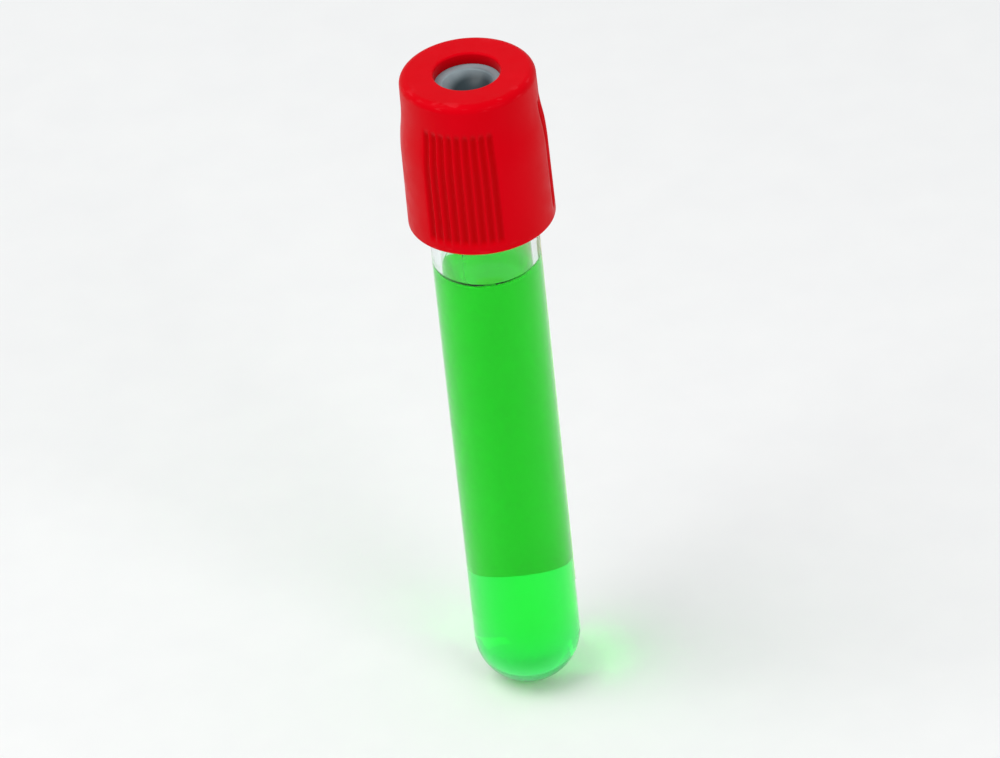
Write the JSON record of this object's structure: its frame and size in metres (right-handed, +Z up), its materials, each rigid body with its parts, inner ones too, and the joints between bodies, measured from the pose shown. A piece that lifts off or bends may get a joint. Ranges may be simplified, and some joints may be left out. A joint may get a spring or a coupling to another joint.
{
  "type": "test tube",
  "caption": "Round-bottomed glass sample tube holding green liquid, closed by a rubber stopper inside a ribbed red plastic shield that pulls off upwards, with a plain paper label.",
  "frame": {"origin": "lowest point of the round bottom, on the tube's axis", "axes": "+Z up along the tube's axis, from the round bottom towards the closure; -Y is the side without the label, +Y the far side"},
  "size_m": [0.0176, 0.0176, 0.0876],
  "materials": {
    "glass": "clear, fire-polished at the rim",
    "liquid": "clear bright green water-like liquid",
    "label_paper": "matt coated paper",
    "stopper_rubber": "matt grey rubber with a faint sheen",
    "shield_plastic": "satin to glossy moulded red plastic"
  },
  "bodies": {
    "tube": {"glass_tube": "glass", "liquid": "liquid", "label": "label_paper"},
    "closure": {"stopper": "stopper_rubber", "cap_shield": "shield_plastic"}
  },
  "joints": [
    {"name": "closure_pull", "type": "slide", "parent": "tube", "child": "closure", "axis": [0, 0, 1], "range_m": [0, 0.035]}
  ]
}
